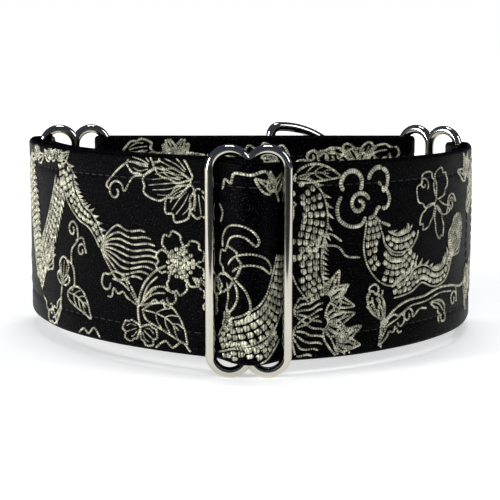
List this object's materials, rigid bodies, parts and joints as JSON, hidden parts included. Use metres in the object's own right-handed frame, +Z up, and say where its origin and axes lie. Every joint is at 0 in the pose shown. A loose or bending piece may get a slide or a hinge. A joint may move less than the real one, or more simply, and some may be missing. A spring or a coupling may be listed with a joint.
{
  "type": "martingale dog collar",
  "caption": "Wide brocade martingale collar standing on its wire frames: front adjuster, two end connectors, and a fabric control loop with a welded leash ring.",
  "frame": {"origin": "on the table under the middle of the collar's outline at rest", "axes": "+X to the wearer-side right seen from the adjuster, +Y from the adjuster at the front to the leash ring at the back, +Z up across the strap's width"},
  "size_m": [0.128, 0.1048, 0.0576],
  "materials": {
    "brocade": "black satin brocade with a raised pale gold woven figure",
    "webbing": "heavy black nylon webbing",
    "satin_lining": "plain black satin",
    "thread": "black polyester sewing thread",
    "polished_nickel": "polished nickel plate on steel wire"
  },
  "bodies": {
    "front_strap": {"left_front_outer_brocade": "brocade", "left_front_outer_webbing": "webbing", "left_front_outer_lining": "satin_lining", "left_front_inner_brocade": "brocade", "left_front_inner_webbing": "webbing", "left_front_inner_lining": "satin_lining", "right_front_brocade": "brocade", "right_front_webbing": "webbing", "right_front_lining": "satin_lining", "adjuster_stitching": "thread"},
    "adjuster": {"adjuster_frame": "polished_nickel", "adjuster_centre_bar": "polished_nickel", "slide_pass_brocade": "brocade", "slide_pass_webbing": "webbing", "slide_pass_lining": "satin_lining", "adjuster_end_brocade": "brocade", "adjuster_end_webbing": "webbing", "adjuster_end_lining": "satin_lining"},
    "left_side": {"left_return_brocade": "brocade", "left_return_webbing": "webbing", "left_return_lining": "satin_lining"},
    "right_side": {"right_end_brocade": "brocade", "right_end_webbing": "webbing", "right_end_lining": "satin_lining", "right_end_stitching": "thread"},
    "left_connector": {"left_connector_frame": "polished_nickel", "left_connector_centre_bar": "polished_nickel"},
    "right_connector": {"right_connector_frame": "polished_nickel", "right_connector_centre_bar": "polished_nickel"},
    "loop_left": {"loop_left_fold_brocade": "brocade", "loop_left_fold_webbing": "webbing", "loop_left_fold_lining": "satin_lining", "loop_inner_brocade": "brocade", "loop_inner_webbing": "webbing", "loop_inner_lining": "satin_lining", "loop_outer_left_brocade": "brocade", "loop_outer_left_webbing": "webbing", "loop_outer_left_lining": "satin_lining"},
    "ring_carrier": {"ring_seat_brocade": "brocade", "ring_seat_webbing": "webbing", "ring_seat_lining": "satin_lining", "ring_stitching": "thread"},
    "loop_right": {"loop_right_fold_brocade": "brocade", "loop_right_fold_webbing": "webbing", "loop_right_fold_lining": "satin_lining", "loop_outer_right_brocade": "brocade", "loop_outer_right_webbing": "webbing", "loop_outer_right_lining": "satin_lining"},
    "leash_ring": {"leash_ring": "polished_nickel"}
  },
  "joints": [
    {"name": "adjuster_slide", "type": "slide", "parent": "front_strap", "child": "adjuster", "axis": [1, 0, 0], "range_m": [-0.006, 0.006], "deforming": ["left_front_outer_brocade", "left_front_outer_webbing", "left_front_outer_lining", "left_front_inner_brocade", "left_front_inner_webbing", "left_front_inner_lining", "right_front_brocade", "right_front_webbing", "right_front_lining", "adjuster_stitching"]},
    {"name": "left_side_draw", "type": "hinge", "parent": "front_strap", "child": "left_side", "pos_m": [-0.0367, -0.02496, 0.0285], "axis": [0, 0, -1], "range_deg": [0, 15]},
    {"name": "right_side_draw", "type": "hinge", "parent": "front_strap", "child": "right_side", "pos_m": [0.04021, -0.02483, 0.0285], "axis": [0, 0, 1], "range_deg": [0, 14.01]},
    {"name": "left_connector_swing", "type": "hinge", "parent": "left_side", "child": "left_connector", "pos_m": [-0.06031, 0.03564, 0.0285], "axis": [0, 0, 1], "range_deg": [0, 25.01]},
    {"name": "right_connector_swing", "type": "hinge", "parent": "right_side", "child": "right_connector", "pos_m": [0.06031, 0.02769, 0.0285], "axis": [0, 0, -1], "range_deg": [0, 32.01]},
    {"name": "left_fold_turn", "type": "hinge", "parent": "left_connector", "child": "loop_left", "pos_m": [-0.04199, 0.03889, 0.0285], "axis": [0, 0, -1], "range_deg": [0, 10.01], "deforming": ["loop_inner_brocade", "loop_inner_webbing", "loop_inner_lining"]},
    {"name": "loop_pull", "type": "slide", "parent": "loop_left", "child": "ring_carrier", "axis": [-0.283, 0.9591, 0], "range_m": [0, 0.04852], "deforming": ["loop_outer_left_brocade", "loop_outer_left_webbing", "loop_outer_left_lining"]},
    {"name": "loop_return", "type": "slide", "parent": "ring_carrier", "child": "loop_right", "axis": [-0.2315, -0.9728, 0], "range_m": [0, 0.04766], "deforming": ["loop_outer_right_brocade", "loop_outer_right_webbing", "loop_outer_right_lining"]},
    {"name": "leash_ring_swing", "type": "hinge", "parent": "ring_carrier", "child": "leash_ring", "pos_m": [0.0065, 0.03889, 0.0285], "axis": [0, 0, 1], "range_deg": [0, 132]}
  ],
  "couplings": [
    {"joint": "right_side_draw", "follows": "left_side_draw", "ratio": 0.93333},
    {"joint": "left_connector_swing", "follows": "left_side_draw", "ratio": 1.6667},
    {"joint": "right_connector_swing", "follows": "left_side_draw", "ratio": 2.1333},
    {"joint": "left_fold_turn", "follows": "left_side_draw", "ratio": 0.66667},
    {"joint": "loop_pull", "follows": "left_side_draw", "m_per_rad": 0.18532},
    {"joint": "loop_return", "follows": "left_side_draw", "m_per_rad": 0.18204}
  ]
}
